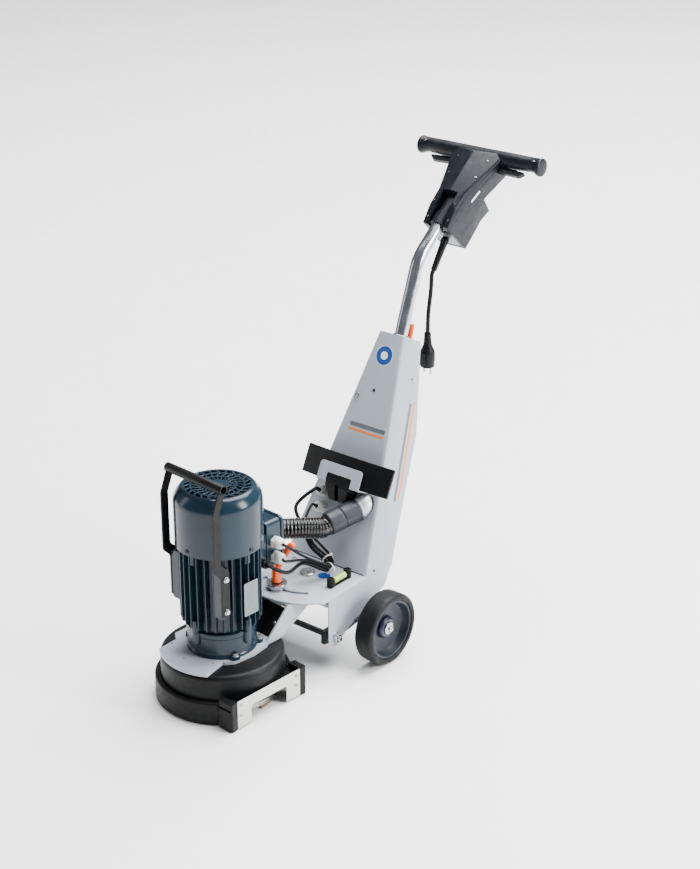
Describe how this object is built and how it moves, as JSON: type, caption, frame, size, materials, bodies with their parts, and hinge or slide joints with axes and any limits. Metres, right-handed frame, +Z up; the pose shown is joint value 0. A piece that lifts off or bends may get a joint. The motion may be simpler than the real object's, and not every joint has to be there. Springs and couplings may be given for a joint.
{
  "type": "walk-behind floor grinder",
  "caption": "Electric single-disc concrete floor grinder: swivelling motor head with dust skirt, folded steel column on a wheeled frame, telescopic T-handle with triggers.",
  "frame": {"origin": "floor level, centre of the footprint of the whole machine without its cord", "axes": "+Z up, -Y forwards over the grinding head, +Y back to the operator, +X to the operator's right-hand side when facing the head is -X, so +X is the side with the cut-away skirt"},
  "size_m": [0.422, 1.1294, 1.0853],
  "materials": {
    "grey_paint": "satin",
    "motor_paint": "semi gloss",
    "black_paint": "matte",
    "frame_paint": "satin",
    "zinc": "zinc plated",
    "steel": "turned",
    "stainless": "brushed",
    "segments": "sintered bronze on steel",
    "black_rubber": "satin",
    "slate_rubber": "satin",
    "tyre_rubber": "matte",
    "rim_plastic": "satin",
    "light_plastic": "satin",
    "vial": "clear",
    "orange_plastic": "gloss",
    "handle_plastic": "satin"
  },
  "bodies": {
    "chassis": {"chassis_shell": "grey_paint", "rear_cover": "grey_paint", "suction_pipe": "zinc", "tube_guide": "steel", "bumper_pad": "black_rubber", "bumper_bracket": "grey_paint", "cable_hook": "black_rubber", "column_gland_upper": "light_plastic", "column_gland_lower": "light_plastic", "column_gland_foot": "light_plastic", "level_holder": "black_rubber", "level_vial": "vial", "pivot_bolt": "zinc", "control_box": "light_plastic", "left_frame_bolt": "zinc", "right_frame_bolt": "zinc", "hose_cuff": "slate_rubber", "suction_hose": "black_rubber", "motor_cable": "black_rubber", "sensor_cable_upper": "black_rubber", "sensor_cable_lower": "black_rubber"},
    "wheel_frame": {"wheel_frame": "frame_paint", "axle": "zinc"},
    "left_wheel": {"left_tyre": "tyre_rubber", "left_rim": "rim_plastic"},
    "right_wheel": {"right_tyre": "tyre_rubber", "right_rim": "rim_plastic"},
    "head": {"arm_plate": "grey_paint", "arm_cover": "black_paint", "dust_hood": "black_paint", "end_bell": "motor_paint", "motor_housing": "motor_paint", "fan_cover": "motor_paint", "terminal_box": "motor_paint", "terminal_lid": "motor_paint", "motor_gland_upper": "light_plastic", "motor_gland_lower": "light_plastic", "power_gland": "black_rubber", "rating_plate": "stainless", "lift_handle": "black_paint", "swivel_clamp_washer": "zinc"},
    "spindle": {"motor_shaft": "steel", "cooling_fan": "light_plastic", "grinding_disc": "segments"},
    "skirt": {"dust_skirt": "black_rubber", "skirt_corner_front": "black_rubber", "skirt_corner_rear": "black_rubber", "edge_plate": "stainless"},
    "swivel_lever": {"swivel_clamp_lever": "orange_plastic"},
    "tube_lever": {"tube_clamp_lever": "orange_plastic"},
    "handle": {"handle_tube": "zinc", "grip_shell_front": "handle_plastic", "grip_shell_rear": "handle_plastic", "tube_collar": "handle_plastic", "switch_plate": "steel", "strain_relief": "black_rubber", "power_cord": "black_rubber", "plug": "black_rubber"},
    "left_trigger": {"trigger_left": "handle_plastic"},
    "right_trigger": {"trigger_right": "handle_plastic"}
  },
  "joints": [
    {"name": "head_swivel", "type": "hinge", "parent": "chassis", "child": "head", "pos_m": [0, -0.13286, 0.1936], "axis": [0, 0, 1], "range_deg": [-18, 24], "deforming": ["suction_hose", "motor_cable", "sensor_cable_upper", "sensor_cable_lower"]},
    {"name": "spindle_turn", "type": "hinge", "parent": "head", "child": "spindle", "pos_m": [-0.0198, -0.40915, 0.12], "axis": [0, 0, 1], "continuous": true},
    {"name": "skirt_float", "type": "slide", "parent": "head", "child": "skirt", "axis": [0, 0, 1], "range_m": [0, 0.01]},
    {"name": "wheel_frame_tilt", "type": "hinge", "parent": "chassis", "child": "wheel_frame", "pos_m": [0, -0.17756, 0.0838], "axis": [1, 0, 0], "range_deg": [-4, 4]},
    {"name": "left_wheel_turn", "type": "hinge", "parent": "wheel_frame", "child": "left_wheel", "pos_m": [-0.1865, -0.07246, 0.0875], "axis": [1, 0, 0], "continuous": true},
    {"name": "right_wheel_turn", "type": "hinge", "parent": "wheel_frame", "child": "right_wheel", "pos_m": [0.1865, -0.07246, 0.0875], "axis": [1, 0, 0], "continuous": true},
    {"name": "swivel_lever_turn", "type": "hinge", "parent": "head", "child": "swivel_lever", "pos_m": [-0.00729, -0.2346, 0.21], "axis": [0, 0, 1], "range_deg": [0, 45]},
    {"name": "tube_lever_turn", "type": "hinge", "parent": "chassis", "child": "tube_lever", "pos_m": [0, 0.23643, 0.64435], "axis": [0, -0.9397, 0.342], "range_deg": [-60, 60]},
    {"name": "handle_height", "type": "slide", "parent": "chassis", "child": "handle", "axis": [0, 0.342, 0.9397], "range_m": [-0.08, 0.12]},
    {"name": "left_trigger_pull", "type": "hinge", "parent": "handle", "child": "left_trigger", "pos_m": [-0.068, 0.52085, 1.04513], "axis": [0, 0.628, -0.7782], "range_deg": [0, 5], "stiffness_Nm_per_rad": 1.5, "springref_deg": -6.88},
    {"name": "right_trigger_pull", "type": "hinge", "parent": "handle", "child": "right_trigger", "pos_m": [0.068, 0.52085, 1.04513], "axis": [0, -0.628, 0.7782], "range_deg": [0, 5], "stiffness_Nm_per_rad": 1.5, "springref_deg": -6.88}
  ]
}
